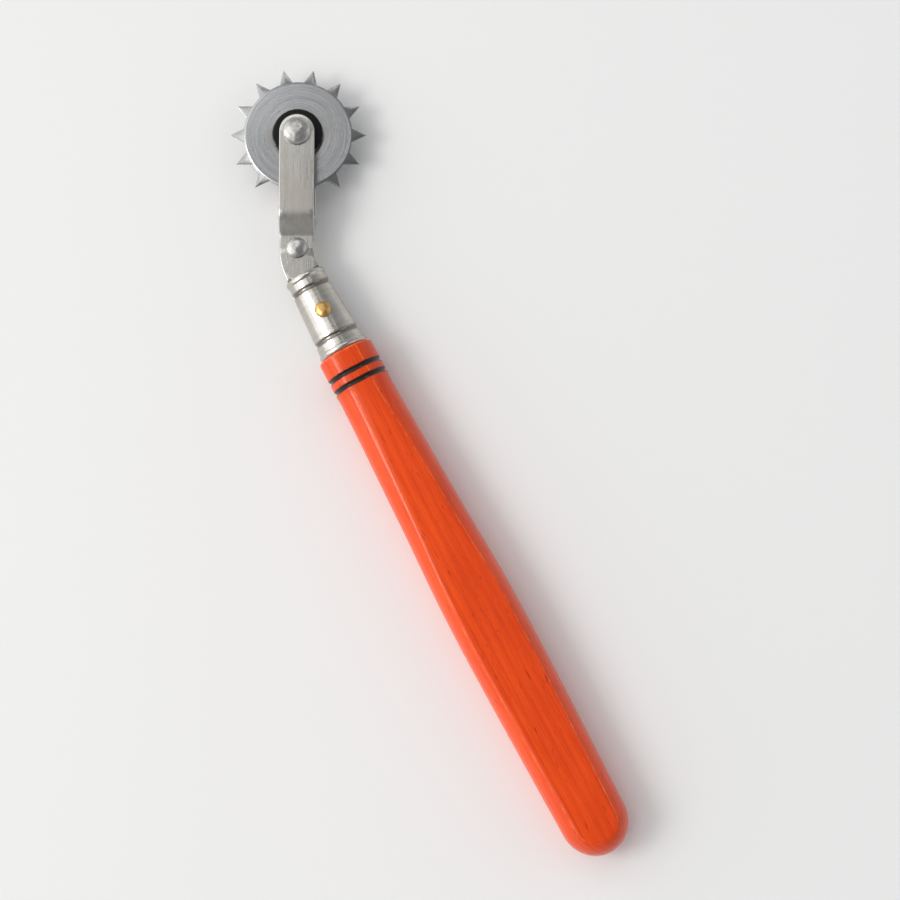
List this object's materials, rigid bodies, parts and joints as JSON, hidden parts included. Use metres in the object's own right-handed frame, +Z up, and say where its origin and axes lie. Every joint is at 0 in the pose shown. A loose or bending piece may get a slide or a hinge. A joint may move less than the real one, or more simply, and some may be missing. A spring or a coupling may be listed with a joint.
{
  "type": "tracing wheel",
  "caption": "Dressmaker's tracing wheel: a toothed steel wheel spins freely in a riveted fork with a bent neck, pinned into a ferruled wooden handle with flattened sides.",
  "frame": {"origin": "On the table that the tool lies on, under the middle of its bounding box.", "axes": "+Y along the handle from its butt towards the wheel, +Z up from the table along the wheel's axle, and +X the side that the neck bends to."},
  "size_m": [0.0308, 0.1556, 0.0096],
  "materials": {
    "ground_steel": "ground and polished",
    "rivet_steel": "bright, lightly worn",
    "nickel_plate": "nickel plated, satin",
    "ferrule_nickel": "nickel plated, polished",
    "blackened_steel": "black oxide, satin",
    "brass": "turned",
    "lacquered_wood": "orange-red dye under gloss lacquer, black burned rings"
  },
  "bodies": {
    "holder": {"handle": "lacquered_wood", "ferrule": "ferrule_nickel", "ferrule_pin": "brass", "fork_cheek_upper": "nickel_plate", "fork_cheek_lower": "nickel_plate", "neck_rivet": "rivet_steel", "axle_rivet": "rivet_steel", "rivet_burr": "rivet_steel", "thrust_washer_upper": "rivet_steel", "thrust_washer_lower": "rivet_steel"},
    "wheel": {"wheel_disc": "ground_steel", "hub_bush": "brass", "hub_collar_upper": "blackened_steel", "hub_collar_lower": "blackened_steel"}
  },
  "joints": [
    {"name": "wheel_spin", "type": "hinge", "parent": "holder", "child": "wheel", "pos_m": [0.00266, 0.06535, 0.0048], "axis": [0, 0, 1], "continuous": true}
  ]
}
